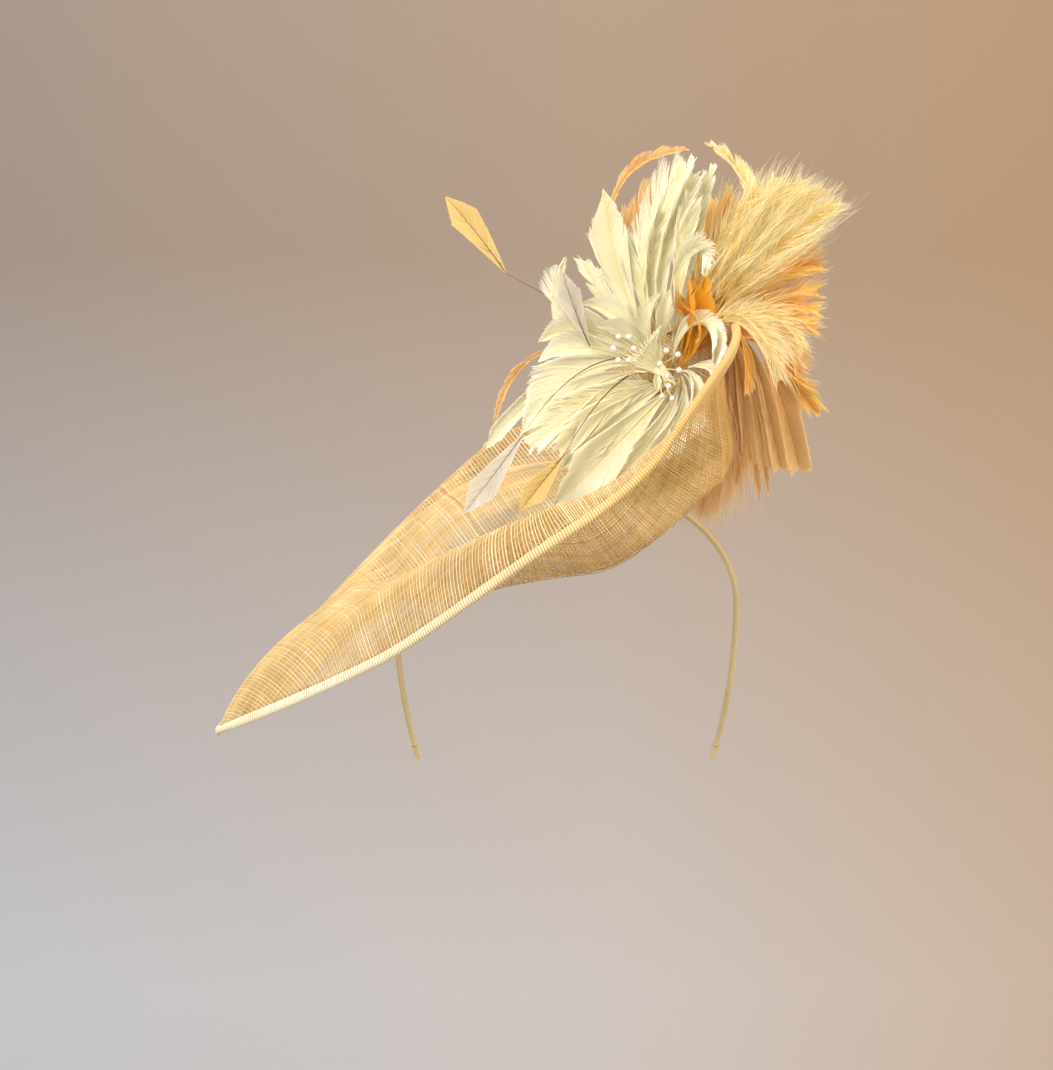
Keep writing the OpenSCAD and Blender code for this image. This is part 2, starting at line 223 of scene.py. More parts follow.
class Shader:
    """A material's node tree, with short calls for the nodes used here."""

    def __init__(self, name):
        self.material = bpy.data.materials.new(name)
        self.material.use_nodes = True
        self.tree = self.material.node_tree
        self.surface = self.tree.nodes["Principled BSDF"]
        self.out = self.tree.nodes["Material Output"]

    def node(self, kind, **settings):
        n = self.tree.nodes.new(kind)
        for key, value in settings.items():
            if key in n.inputs:
                n.inputs[key].default_value = value
            else:
                setattr(n, key, value)
        return n

    def link(self, a, b):
        self.tree.links.new(a, b)

    def set(self, **values):
        for key, value in values.items():
            self.surface.inputs[key.replace("_", " ")].default_value = value

    def noise(self, scale, detail=3.0, stretch=None):
        place = self.node("ShaderNodeTexCoord").outputs["Object"]
        if stretch:
            turn = self.node("ShaderNodeMapping")
            turn.inputs["Scale"].default_value = stretch
            self.link(place, turn.inputs["Vector"])
            place = turn.outputs["Vector"]
        n = self.node("ShaderNodeTexNoise", Scale=scale, Detail=detail)
        self.link(place, n.inputs["Vector"])
        return n.outputs["Fac"]

    def across(self, low, high, axis="X"):
        """0 to 1 between two places on an axis of the frame, in metres."""
        split = self.node("ShaderNodeSeparateXYZ")
        self.link(self.node("ShaderNodeTexCoord").outputs["Object"], split.inputs[0])
        share = self.node("ShaderNodeMapRange")
        share.inputs["From Min"].default_value, share.inputs["From Max"].default_value = low, high
        self.link(split.outputs[axis], share.inputs["Value"])
        return share.outputs[0]

    def ramp(self, source, stops):
        n = self.node("ShaderNodeValToRGB")
        ends = n.color_ramp.elements
        while len(ends) < len(stops):
            ends.new(0.5)
        for e, (at, colour) in zip(ends, stops):
            e.position, e.color = at, colour
        self.link(source, n.inputs["Fac"])
        return n.outputs["Color"]

    def tint(self):
        return self.node("ShaderNodeAttribute", attribute_name="tint").outputs["Fac"]

    def blend(self, a, b, share, kind="MIX"):
        n = self.node("ShaderNodeMix", data_type="RGBA", blend_type=kind)
        for source, target in ((share, n.inputs[0]), (a, n.inputs[6]), (b, n.inputs[7])):
            if isinstance(source, (int, float, tuple)):
                target.default_value = source
            else:
                self.link(source, target)
        return n.outputs[2]

    def bump(self, height, depth):
        n = self.node("ShaderNodeBump", Strength=0.6, Distance=depth)
        self.link(height, n.inputs["Height"])
        self.link(n.outputs["Normal"], self.surface.inputs["Normal"])

    def colour(self, socket):
        self.link(socket, self.surface.inputs["Base Color"])

    def glow_through(self, socket, share):
        """Let light through a thin sheet: the share of it that a translucent side carries."""
        thin = self.node("ShaderNodeBsdfTranslucent")
        self.link(socket, thin.inputs["Color"])
        mix = self.node("ShaderNodeMixShader", Fac=share)
        self.link(self.surface.outputs[0], mix.inputs[1])
        self.link(thin.outputs[0], mix.inputs[2])
        self.link(mix.outputs[0], self.out.inputs["Surface"])


def straw(name, deep, light, pale):
    """Straw threads, each with its own tint, in a cloth that takes the dye unevenly; the tint also
    carries painted light, lighter on the thread set that lies on top.
    """
    s = Shader(name)
    threads = s.ramp(s.tint(), [(0.0, deep), (0.45, light), (1.0, pale)])
    patches = s.ramp(s.noise(60, 4), [(0.3, (0.82, 0.80, 0.76, 1)), (0.7, (1, 1, 1, 1))])
    colour = s.blend(threads, patches, 1.0, "MULTIPLY")
    s.colour(colour)
    s.set(Roughness=0.42, Specular_IOR_Level=0.45, Sheen_Weight=0.1)
    s.bump(s.noise(2600, 2), 0.0001)
    s.glow_through(colour, 0.22)
    return s.material


def feather(name, root, body, tip, glow):
    """Barbs run from root (tint 0) to tip (tint 1); each barb has its own small shift in tint."""
    s = Shader(name)
    colour = s.ramp(s.tint(), [(0.0, root), (0.45, body), (1.0, tip)])
    clouds = s.ramp(s.noise(90, 3), [(0.3, (0.94, 0.93, 0.89, 1)), (0.65, (1, 1, 1, 1))])
    colour = s.blend(colour, clouds, 1.0, "MULTIPLY")
    s.colour(colour)
    s.set(Roughness=0.55, Specular_IOR_Level=0.3, Sheen_Weight=0.35, Sheen_Roughness=0.4)
    s.bump(s.noise(3500, 2), 0.00008)
    s.glow_through(colour, glow)
    return s.material


def ribbed(name, base, painted_shade_colour):
    """Ribbed tape: painted shade darkens the grooves between its ribs and its plain inner side, and
    painted light runs along the object, from the pale base colour at -X to a darker, warmer shaded
    colour at +X.
    """
    s = Shader(name)
    # painted light and shade along X: paler at the -X end, darker and warmer towards +X
    colour = s.blend(base, painted_shade_colour, s.across(-0.10, 0.03))
    clouds = s.ramp(s.noise(45, 3), [(0.3, (0.90, 0.87, 0.80, 1)), (0.75, (1, 1, 1, 1))])
    colour = s.blend(colour, clouds, 1.0, "MULTIPLY")
    # painted shade: the grooves between the ribs, and the tape's unribbed inner side, are darkened
    # towards brown
    grooves = s.ramp(s.tint(), [(0.0, (0.50, 0.42, 0.30, 1)), (0.7, (1, 1, 1, 1))])
    s.colour(s.blend(colour, grooves, 1.0, "MULTIPLY"))
    s.set(Roughness=0.6, Sheen_Weight=0.3, Specular_IOR_Level=0.35)
    s.bump(s.noise(4200, 2), 0.00008)
    return s.material


def satin(name, base, shade):
    """Satin with its fine weave, and a highlight drawn out along it."""
    s = Shader(name)
    s.colour(s.ramp(s.noise(30, 2), [(0.3, base), (0.8, shade)]))
    s.set(Roughness=0.34, Sheen_Weight=0.4, Anisotropic=0.5, Specular_IOR_Level=0.5)
    weave = s.node("ShaderNodeTexWave", Scale=900.0, Distortion=1.5, Detail=1.0)
    s.link(s.node("ShaderNodeTexCoord").outputs["Object"], weave.inputs["Vector"])
    s.bump(weave.outputs["Fac"], 0.00005)
    return s.material


def plain(name, base, second, rough, metal=0.0, coat=0.0, scale=400.0, depth=0.00005):
    """A mottled surface of two near colours, with a fine grain."""
    s = Shader(name)
    s.colour(s.ramp(s.noise(scale, 3), [(0.35, base), (0.7, second)]))
    s.set(Roughness=rough, Metallic=metal, Coat_Weight=coat, Coat_Roughness=0.08)
    s.bump(s.noise(scale * 4, 2), depth)
    return s.material


IVORY, LEMON, GREEN_IVORY = linear(255, 253, 240), linear(255, 245, 200), linear(246, 236, 178)
AMBER, DEEP_AMBER, GOLD = linear(255, 216, 124), linear(242, 178, 74), linear(250, 212, 144)
MATERIALS = {
    "sinamay": straw("sinamay_straw", linear(206, 154, 80), linear(240, 204, 132),
                     linear(255, 242, 200)),
    # the binding's second colour is painted shade, for its darker, warmer +X end
    "binding": ribbed("ribbed_binding", linear(250, 243, 214), linear(234, 196, 124)),
    "satin": satin("satin_ribbon", linear(212, 194, 146), linear(186, 164, 114)),
    "felt": plain("felt", linear(214, 186, 128), linear(196, 166, 108), 0.95, scale=900.0,
                  depth=0.0002),
    "thread": plain("thread", linear(238, 226, 188), linear(222, 206, 160), 0.6, scale=1500.0),
    "steel": plain("spring_steel", linear(160, 162, 166), linear(138, 140, 146), 0.3, metal=1.0),
    "stems": plain("bound_stems", linear(206, 172, 108), linear(168, 130, 74), 0.55, scale=700.0,
                   depth=0.0003),
    "pearl": plain("pearl", linear(250, 246, 238), linear(236, 228, 214), 0.18, coat=0.8,
                   scale=300.0, depth=0.00001),
    "ivory": feather("ivory_feather", GREEN_IVORY, linear(255, 251, 222), IVORY, 0.25),
    "lemon": feather("lemon_feather", linear(246, 214, 120), LEMON, linear(255, 250, 216), 0.4),
    "amber": feather("amber_feather", DEEP_AMBER, AMBER, linear(255, 238, 176), 0.35),
    "trumpet": feather("trumpet_feather", linear(226, 150, 18), linear(252, 204, 62),
                       linear(255, 232, 130), 0.4),
    "gold": feather("gold_feather", linear(228, 172, 96), GOLD, linear(255, 230, 176), 0.35),
    "mustard": feather("mustard_feather", linear(112, 76, 30), linear(236, 206, 132),
                       linear(246, 220, 152), 0.3),
    "grey": feather("grey_feather", linear(124, 104, 78), linear(222, 214, 198),
                    linear(240, 234, 222), 0.3),
    "tan": feather("tan_down", linear(220, 172, 112), linear(248, 214, 156),
                   linear(255, 232, 188), 0.4),
}


# ---------------------------------------------------------------- sinamay
THREAD_PITCH = (1.5, 1.75)
THREAD_WIDTH = (0.30, 0.46)
THREAD_STEP, THREAD_CROWN = 1.9, 0.28
THREAD_SIDE = (-0.09, 0.09)
BIAS = (math.radians(1), math.radians(93))
LAYER_OFFSETS = {"sinamay_top_layer": 0.55, "sinamay_under_layer": -0.55}
CLOTH_REACH = 235.0


def weave(offset, seed):
    """Every thread of one layer as a low V of two faces, laid over the brim from the flat cloth."""
    own = np.random.default_rng(seed)
    verts, faces, tints, start = [], [], [], 0
    for turn, side, pitch, wide in zip(BIAS, THREAD_SIDE, THREAD_PITCH, THREAD_WIDTH):
        run = np.array([math.cos(turn), math.sin(turn)])
        step = np.array([-math.sin(turn), math.cos(turn)])
        lines = np.arange(-CLOTH_REACH, CLOTH_REACH, pitch)
        lines = lines + own.normal(0, 0.07, len(lines))
        stations = np.arange(-CLOTH_REACH, CLOTH_REACH, THREAD_STEP)
        wander = 0.10 * np.sin(stations[None, :] / 17 + own.uniform(0, 6.3, len(lines))[:, None])
        c = lines[:, None] + wander
        x = run[0] * stations[None, :] + step[0] * c
        y = run[1] * stations[None, :] + step[1] * c
        place, normal, on = brim.lay(x, y)
        place = place + normal * (offset + side)
        ahead = unit(np.gradient(place, axis=1))
        across = unit(np.cross(normal, ahead))
        width = wide * own.uniform(0.75, 1.25, len(lines))
        width[own.random(len(lines)) < 0.06] *= 1.5
        half = (width / 2)[:, None, None]
        left, right = place - across * half, place + across * half
        middle = place + normal * THREAD_CROWN
        grid = np.stack([left, middle, right], 2)
        # painted light: the thread set that lies on top gets a quarter more tint, so it is lighter than
        # the set beneath
        shade = own.normal(0.45, 0.16, len(lines))[:, None] + 0.25 * (side > 0)
        shade = shade + own.normal(0, 0.06, place.shape[:2])
        pair = on[:, :-1] & on[:, 1:]
        row, column = np.nonzero(pair)
        count = len(stations)
        for k in range(2):
            a = (row * count + column) * 3 + k
            faces.append(np.stack([a, a + 3, a + 4, a + 1], 1) + start)
        verts.append(grid.reshape(-1, 3))
        tints.append(np.repeat(shade.reshape(-1), 3))
        start += grid.shape[0] * grid.shape[1] * 3
    verts, faces, tints = np.concatenate(verts), np.concatenate(faces), np.concatenate(tints)
    used = np.unique(faces)
    place = np.full(len(verts), -1)
    place[used] = np.arange(len(used))
    return verts[used], place[faces], np.clip(tints[used], 0, 1)


for seed, (node, offset) in enumerate(LAYER_OFFSETS.items()):
    verts, faces, tints = weave(offset, 40 + seed)
    cloth = new_piece(node + "_weave", verts, faces, MATERIALS["sinamay"], tints)
    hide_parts(node)
    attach(cloth, "base")


# ---------------------------------------------------------------- edge binding
RIB_PITCH, RING_STEP = 1.35, 0.30
# the binding's section, as (out of the brim, up from it); its first points are the ribbed outside
BINDING = np.array([[-1.9, 0.95], [-2.0, 1.2], [-1.5, 1.4], [-0.6, 1.5], [0.3, 1.6], [1.1, 1.45],
                    [1.8, 0.9], [2.1, 0.0], [1.8, -0.9], [1.1, -1.5], [0.2, -1.7], [-1.4, -1.6],
                    [-3.0, -1.5], [-3.9, -1.3], [-3.9, -0.95], [-1.0, -0.95], [0.7, -0.8], [1.3, 0.0],
                    [0.7, 0.8], [-1.0, 0.95]])
RIBBED_POINTS = 15


def edge_frames(step):
    """Points evenly spaced along the edge, with the way out of the brim and the way up from it."""
    line = brim.points[:, -1]
    gap = np.linalg.norm(np.roll(line, -1, 0) - line, axis=1)
    length = np.append(0, gap.cumsum())
    count = int(length[-1] / step)
    at = np.arange(count) / count * length[-1]
    index = np.interp(at, length, np.arange(brim.turns + 1))
    place = brim.pick(brim.points, index, np.ones(count))
    up = unit(brim.pick(brim.normals, index, np.full(count, 0.99)))
    outward = unit(place - brim.pick(brim.points, index, np.full(count, 0.96)))
    ahead = unit(np.roll(place, -3, 0) - np.roll(place, 3, 0))
    square = unit(np.cross(ahead, up))
    square = square * np.sign((square * outward).sum(1, keepdims=True))
    degrees_from_tip = np.abs(index / brim.turns - 0.5) * 360
    share = smoothstep(9, 30, degrees_from_tip)[:, None]
    return at, place, unit(outward * (1 - share) + square * share), up


def binding():
    """The binding as one closed ring of sections, its ribs wound slightly aslant."""
    at, place, out, up = edge_frames(RING_STEP)
    n = len(BINDING)
    shift = np.arange(n) / n
    phase = np.cos(2 * math.pi * (at[:, None] / RIB_PITCH + 1.6 * shift[None, :]))
    # rib sets the swell of the ribs and, as the tint, the painted shade in the grooves between them
    rib = np.where(np.arange(n)[None, :] < RIBBED_POINTS, 0.5 + 0.5 * phase, 0)
    centre = np.array([0.2, 0.0])
    away = BINDING - centre
    away = away / np.linalg.norm(away, axis=1, keepdims=True)
    swell = 0.05 * np.sin(at[:, None] / 23 + 2) + 0.26 * rib
    section = BINDING[None] + away[None] * swell[..., None]
    verts = place[:, None] + out[:, None] * section[..., :1] + up[:, None] * section[..., 1:]
    faces = grid_faces(len(at), n, closed_rows=True, closed_columns=True)
    return verts.reshape(-1, 3), faces, rib.reshape(-1)


verts, faces, tints = binding()
bound_edge = new_piece("rim_binding_ribbed", verts, faces, MATERIALS["binding"], tints)
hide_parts("rim_binding")
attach(bound_edge, "base")

# ---------------------------------------------------------------- feathers
HUB = np.array([40.0, -29.0, 50.0])
LEAN_REACH = 60.0
SHAPES = {
    "leaf": lambda s: np.maximum(0.08, np.sin(math.pi * s ** 1.15) ** 0.9),
    "plume": lambda s: np.minimum(1, (s / 0.25) ** 0.6) * (1 - s) ** 0.45 + 0.06,
    "strap": lambda s: np.minimum(1, 0.25 + 5 * s),
    "trimmed": lambda s: np.maximum(0.04, np.minimum(s / 0.42, (1 - s) / 0.58)) ** 0.8,
    "biot": lambda s: np.minimum(1, 0.6 + s) * (1 - s) ** 0.5 + 0.05,
}


def lean(flat, slope):
    """Points of a route seen from the front, (x, z), set back by the route's slope."""
    far = np.hypot(flat[:, 0] - HUB[0], flat[:, 1] - HUB[2])
    back = slope * LEAN_REACH * (1 - np.exp(-far / LEAN_REACH))
    return np.stack([flat[:, 0], HUB[1] + back, flat[:, 1]], -1)


def bezier(points, t):
    n = len(points) - 1
    return sum((math.comb(n, k) * (1 - t) ** (n - k) * t ** k)[:, None] * np.array(p, float)
               for k, p in enumerate(points))


class Spine:
    """A feather's spine, evenly spaced, with the way along it, across it and off its face."""

    def __init__(self, route, slope, forward=0.0, roll=(0, 0)):
        t = np.linspace(0, 1, 160)
        line = lean(bezier(route, t), slope)
        line[:, 1] -= forward
        length = np.append(0, np.linalg.norm(np.diff(line, axis=0), axis=1).cumsum())
        self.length = length[-1]
        self.share = np.linspace(0, 1, 80)
        even = self.share * self.length
        self.line = np.stack([np.interp(even, length, line[:, k]) for k in range(3)], -1)
        self.ahead = unit(np.gradient(self.line, axis=0))
        front = np.array([0.0, -1.0, 0.0])
        face = unit(front - self.ahead * (self.ahead @ front)[:, None])
        side = np.cross(face, self.ahead)
        turn = np.radians(roll[0] + (roll[1] - roll[0]) * self.share)[:, None]
        self.face = face * np.cos(turn) + side * np.sin(turn)
        self.side = np.cross(self.face, self.ahead)

    def at(self, table, share):
        return np.stack([np.interp(share, self.share, table[:, k]) for k in range(3)], -1)


class Plumage:
    """Feathers gathered into one mesh: barbs as thin ribbons and spines as fine tubes."""

    def __init__(self, seed):
        self.rng = np.random.default_rng(seed)
        self.verts, self.faces, self.tints, self.count = [], [], [], 0

    def add(self, grid, tint, closed=False):
        """Rows of vertices, one strip for each first index; tint has a number for each vertex."""
        strips, rows, columns = grid.shape[:3]
        one = grid_faces(rows, columns, closed_columns=closed)
        shift = (np.arange(strips) * rows * columns)[:, None, None]
        self.faces.append((one[None] + shift).reshape(-1, 4) + self.count)
        self.verts.append(grid.reshape(-1, 3))
        self.tints.append(np.broadcast_to(tint, grid.shape[:3]).reshape(-1))
        self.count += strips * rows * columns

    def quill(self, spine, radius, until=0.96):
        share = np.linspace(0, until, 24)
        centre = spine.at(spine.line, share)
        side, face = spine.at(spine.side, share), spine.at(spine.face, share)
        r = (radius * (1 - 0.8 * share))[:, None, None]
        a = np.arange(6) / 6 * 2 * math.pi
        ring = np.cos(a)[None, :, None] * side[:, None] + np.sin(a)[None, :, None] * face[:, None]
        self.add((centre[:, None] + r * ring)[None], 0.0, closed=True)

    def barbs(self, spine, width, angle, pitch, thick, cup, gaps, pull, waver, ragged, twist, taper,
              shape="leaf", sag=0.0, bare=0.06, until=1.0, steps=4, stripes=0.0, tint=(0.2, 0.8),
              spill=1.1):
        """A row of barbs down each side of a spine.

        angle: degrees off the spine, at a barb's root and at its tip
        pitch, thick, taper: the space between barbs, a barb's width, and the share left at its tip
        cup, sag, waver, twist: how far the barbs rise off the face, fall, ripple and turn
        gaps, pull: how many splits a side has, and how strongly the barbs between two of them gather
        ragged: the share of broken barbs
        bare, until: the share of the spine without barbs at its foot, and where the barbs stop
        stripes: how much darker every third barb is
        tint: the shade at a barb's root and tip
        spill: how far barbs may reach past the feather's tip, as a multiple of the spine left
        """
        draw = self.rng
        count = max(6, int(spine.length * (until - bare) / pitch))
        stations = bare + (until - bare) * (np.arange(count) + 0.5) / count
        u = np.linspace(0, 1, steps + 1)
        a = np.radians(angle[0] + (angle[1] - angle[0]) * u)
        reach = math.sin(math.radians(sum(angle) / 2))
        for side in (-1, 1):
            own = np.clip(stations + draw.normal(0, 0.3, count) * pitch / spine.length, 0, 1)
            root, ahead = spine.at(spine.line, own), unit(spine.at(spine.ahead, own))
            across, face = unit(spine.at(spine.side, own)), unit(spine.at(spine.face, own))
            size = width / 2 * SHAPES[shape](np.clip((own - bare) / (until - bare), 0, 1)) / reach
            size = np.minimum(size, spill * (1.01 - own) * spine.length + 0.5)
            size = size * (1 + draw.normal(0, 0.03 + ragged, count))
            size[draw.random(count) < ragged] *= 0.5
            cuts = np.sort(draw.uniform(0, 1, gaps)) if gaps else np.zeros(0)
            bundle = np.searchsorted(cuts, (own - bare) / (until - bare))
            ends = np.concatenate([[0], cuts, [1]])
            middle = bare + (until - bare) * (ends[bundle] + ends[bundle + 1]) / 2
            gather = np.clip((middle - own) * spine.length * pull, -6, 6)
            between = a[1:] / 2 + a[:-1] / 2
            step_along = np.append(0, np.cumsum(np.cos(between))) / steps
            step_out = np.append(0, np.cumsum(np.sin(between))) / steps * side
            ripple = u[None] * draw.uniform(3, 7, count)[:, None] + draw.uniform(0, 6.3, count)[:, None]
            wave = waver * size[:, None] * 0.12 * np.sin(ripple) * u[None]
            lift = cup * u ** 2 * size[:, None] + wave + draw.normal(0, 0.12, count)[:, None] * u
            forward = size[:, None] * step_along + gather[:, None] * u ** 1.6 + wave * 0.8
            place = (root[:, None] + ahead[:, None] * forward[..., None]
                     + across[:, None] * (size[:, None] * step_out)[..., None]
                     + face[:, None] * lift[..., None])
            place[..., 2] -= sag * size[:, None] * u ** 2
            flat = (np.cos(a)[None, :, None] * across[:, None]
                    - side * np.sin(a)[None, :, None] * ahead[:, None])
            tip = (draw.normal(0, twist, count) + draw.normal(0, twist, gaps + 1)[bundle])[:, None, None]
            flat = flat * np.cos(tip) + face[:, None] * np.sin(tip)
            half = (thick / 2 * (1 - (1 - taper) * u ** 1.5))[None, :, None]
            half = half * draw.uniform(0.8, 1.2, count)[:, None, None]
            grid = np.stack([place - flat * half, place + flat * half], 2)
            shade = tint[0] + (tint[1] - tint[0]) * u[None] + draw.normal(0, 0.10, count)[:, None]
            shade = shade + draw.normal(0, 0.07, gaps + 1)[bundle][:, None]
            if stripes:
                shade = shade - stripes * (np.arange(count) % 3 == 0)[:, None]
            self.add(grid, np.clip(shade, 0.02, 1)[..., None])

    def piece(self, name, material, node=None, body="base"):
        """The finished piece, riding on its body, and standing for a node where one is named."""
        verts, faces, tints = (np.concatenate(p) for p in (self.verts, self.faces, self.tints))
        obj = new_piece(name, verts, faces, MATERIALS[material], tints)
        if node:
            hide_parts(node)
        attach(obj, body)


# styles of feather, for Plumage.barbs
PETAL = dict(angle=(36, 7), pitch=0.26, thick=0.60, cup=0.20, gaps=2, pull=0.10, waver=0.05,
             ragged=0.004, twist=0.10, taper=0.35, steps=5, spill=0.55)
SPLIT = dict(angle=(30, 5), pitch=0.30, thick=0.50, cup=0.12, gaps=7, pull=0.45, waver=0.3, ragged=0.02,
             twist=0.28, taper=0.2, steps=5, spill=0.75)
PLUME = dict(shape="plume", angle=(34, 8), pitch=0.30, thick=0.24, cup=0.10, gaps=16, pull=0.4,
             waver=1.4, ragged=0.25, twist=0.7, taper=0.3, steps=7, bare=0.25, spill=2.0)
HACKLE = dict(shape="plume", angle=(36, 12), pitch=0.32, thick=0.42, cup=0.15, gaps=10, pull=0.6,
              waver=0.7, ragged=0.12, twist=0.5, taper=0.25, steps=5, bare=0.2, spill=1.6)
DOWN = dict(shape="plume", angle=(30, 6), pitch=0.30, thick=0.22, cup=0.05, gaps=12, pull=0.3, waver=1.8,
            ragged=0.3, twist=0.8, taper=0.3, steps=7, bare=0.3, sag=0.5, spill=2.5)
STRIP = dict(shape="strap", angle=(22, 4), pitch=0.40, thick=0.7, cup=0.08, gaps=1, pull=0.05, waver=0.1,
             ragged=0.004, twist=0.1, taper=0.9, bare=0.4, until=0.985, spill=1.02)
TRIMMED = dict(shape="trimmed", angle=(34, 18), pitch=0.26, thick=0.42, cup=0.05, gaps=1, pull=0.02,
               waver=0.05, ragged=0.01, twist=0.12, taper=0.6, bare=0.0, tint=(0.4, 0.8),
               spill=0.55)
BIOT = dict(shape="biot", angle=(16, 8), pitch=0.4, thick=0.5, cup=0.1, gaps=0, pull=0.5, waver=0.0,
            ragged=0.0, twist=0.1, taper=0.6)


def bunch(name, material, node, seed, rows):
    """One piece of several feathers; a row is route, slope, width, style, and settings of its own."""
    plumage = Plumage(seed)
    for route, slope, width, style, *more in rows:
        settings = dict(more[0]) if more else {}
        spine = Spine(route, slope, settings.pop("forward", 0.0), settings.pop("roll", (0, 0)))
        radius = settings.pop("quill", 0.45)
        look = {**style, **settings}
        plumage.quill(spine, radius, until=0.97 * look.get("until", 1.0))
        plumage.barbs(spine, width, **look)
    plumage.piece(name, material, node)


def scatter(seed, count, starts, bends, tips, slopes, widths, style):
    """Rows for a spray: routes spread between two ends of each list, with a little disorder."""
    draw = np.random.default_rng(seed)
    rows = []
    for k in range(count):
        t = (k + draw.uniform(0.2, 0.8)) / count
        middle = [np.array(b[0], float) * (1 - t) + np.array(b[1], float) * t + draw.normal(0, 2.5, 2)
                  for b in bends]
        start = np.array(starts, float) + draw.normal(0, 1.5, 2)
        last = np.array([np.interp(t, np.linspace(0, 1, len(tips)), places) for places in zip(*tips)])
        rows.append(([start, *middle, last + draw.normal(0, 2, 2)],
                     slopes[0] + (slopes[1] - slopes[0]) * draw.random(),
                     widths[0] + (widths[1] - widths[0]) * draw.random(), style,
                     dict(roll=(draw.uniform(-50, 50), draw.uniform(-60, 60)))))
    return rows


bunch("upright_petals_soft", "ivory", "upright_petals", 11, [
    ([(36, 58), (24, 84), (19, 104), (15.9, 129)], -0.2, 18, PETAL, dict(roll=(20, -20))),
    ([(38, 58), (33, 80), (30, 95), (27, 112)], -0.15, 13, PETAL, dict(roll=(-20, 20))),
    ([(43, 60), (32, 90), (37, 118), (56, 143)], -0.28, 15, SPLIT, dict(roll=(10, 30))),
    ([(45, 60), (37, 90), (44, 116), (59, 137)], -0.24, 14, SPLIT, dict(roll=(-10, 20))),
    ([(42, 60), (31, 82), (30, 100), (40, 122)], -0.32, 11, SPLIT, dict(roll=(30, 50))),
    ([(47, 62), (50, 88), (50, 108), (57, 128)], -0.25, 10, SPLIT, dict(roll=(-30, 0))),
    ([(48, 62), (54, 92), (56, 118), (66, 141)], -0.1, 9, SPLIT, dict(roll=(0, 30))),
    ([(42, 52), (34, 62), (34, 72), (41, 82)], -0.5, 12, PETAL, dict(roll=(30, 50), cup=0.5)),
    ([(43, 54), (40, 64), (42, 74), (46, 84)], -0.45, 10, PETAL, dict(roll=(-40, 20), cup=0.4)),
    ([(46, 66), (42, 88), (50, 106), (63, 110), (61, 90)], -0.45, 13, PETAL,
     dict(roll=(0, -20), cup=0.5, waver=1.5, bare=0.4)),
])
bunch("looped_feathers_soft", "ivory", "looped_feathers", 12, [
    ([(32, 55), (8, 60), (-10, 78), (-1, 99.5)], -0.08, 8, SPLIT, dict(roll=(30, -20))),
    ([(33, 57), (18, 76), (12, 90), (5, 100)], -0.06, 7, SPLIT, dict(roll=(-20, 20))),
    ([(34, 58), (19, 78), (15, 88), (13.5, 95)], -0.1, 5, SPLIT, dict(roll=(10, 10))),
    ([(33, 54), (14, 58), (-2, 70), (-7, 84)], -0.12, 10, PETAL, dict(roll=(10, -10))),
])
bunch("veiled_diamond", "grey", "looped_feathers", 13, [
    ([(10, 59), (5, 70), (1, 80), (-2, 91)], -0.5, 11, TRIMMED, dict(quill=0.3)),
])
bunch("left_petals_soft", "ivory", "left_petals", 14, [
    ([(36, 50), (16, 58), (-6, 44), (-21, 19)], -0.34, 25, PETAL, dict(roll=(10, -10))),
    ([(34, 48), (16, 48), (0, 34), (-12, 20)], -0.42, 18, PETAL, dict(roll=(-10, 10))),
    ([(36, 54), (16, 68), (0, 72), (-13, 61)], -0.28, 20, PETAL, dict(roll=(0, 25))),
    ([(35, 52), (14, 60), (-2, 62), (-13, 52)], -0.36, 16, PETAL, dict(roll=(20, -15))),
    ([(36, 57), (26, 72), (16, 80), (6, 78)], -0.3, 14, PETAL, dict(roll=(-20, 20))),
    ([(37, 56), (28, 66), (20, 70), (12, 68)], -0.45, 13, PETAL, dict(roll=(10, 30))),
])
bunch("front_petals_soft", "ivory", "front_petals", 15, [
    ([(50, 44), (36, 32), (14, 6), (-7, -12.5)], -0.55, 26, PETAL, dict(gaps=4, quill=0.5)),
    ([(49, 45), (32, 38), (14, 22), (-3, 4)], -0.48, 19, PETAL, dict(roll=(0, 15))),
    ([(49, 45), (26, 44), (0, 32), (-17, 12)], -0.5, 17, SPLIT, dict(pull=0.4)),
    ([(48, 46), (28, 40), (8, 26), (-6, 12)], -0.58, 13, SPLIT, dict(roll=(0, 30))),
])
bunch("lower_petals_soft", "ivory", "lower_petals", 16, [
    ([(51, 46), (55, 36), (48, 20), (32, 4)], -0.58, 18, PETAL, dict(roll=(0, 10))),
    ([(52, 47), (60, 40), (57, 28), (46, 13)], -0.52, 16, PETAL, dict(roll=(-10, 10))),
    ([(50, 45), (48, 32), (38, 16), (23, 1)], -0.62, 15, PETAL, dict(roll=(10, 0))),
    ([(50, 48), (56, 50), (58, 42), (55, 30)], -0.66, 8, PETAL, dict(roll=(0, 40), cup=0.4)),
    ([(54, 50), (62, 52), (66, 50), (64, 40)], -0.4, 9, PETAL, dict(roll=(0, 40))),
])
bunch("biot_tuft_striped", "ivory", "biot_tuft", 17,
      [([(47 - 0.3 * k, 45 + 0.4 * k), (38 - 0.2 * k, 48 + 1.1 * k), (24 + 1.6 * k, 54 + 1.3 * k)],
        -0.6, 2.4, BIOT, dict(quill=0.16, stripes=0.5 * (k % 2), forward=8.5 - 0.1 * k))
       for k in range(12)]
      + [([(40 + far * math.cos(a), 50 + far * math.sin(a)) for far in (0, 6, 11)],
          -0.5, 6, PETAL, dict(forward=7.5, cup=0.5)) for a in (1.5, 2.3, 3.3, 4.7, 5.5)])
bunch("ribbon_curl_soft", "ivory", "ribbon_curl", 18, [
    ([(47, 52), (50, 78), (70, 74), (66, 50)], -0.5, 7, PETAL, dict(roll=(40, -30), cup=0.4)),
])
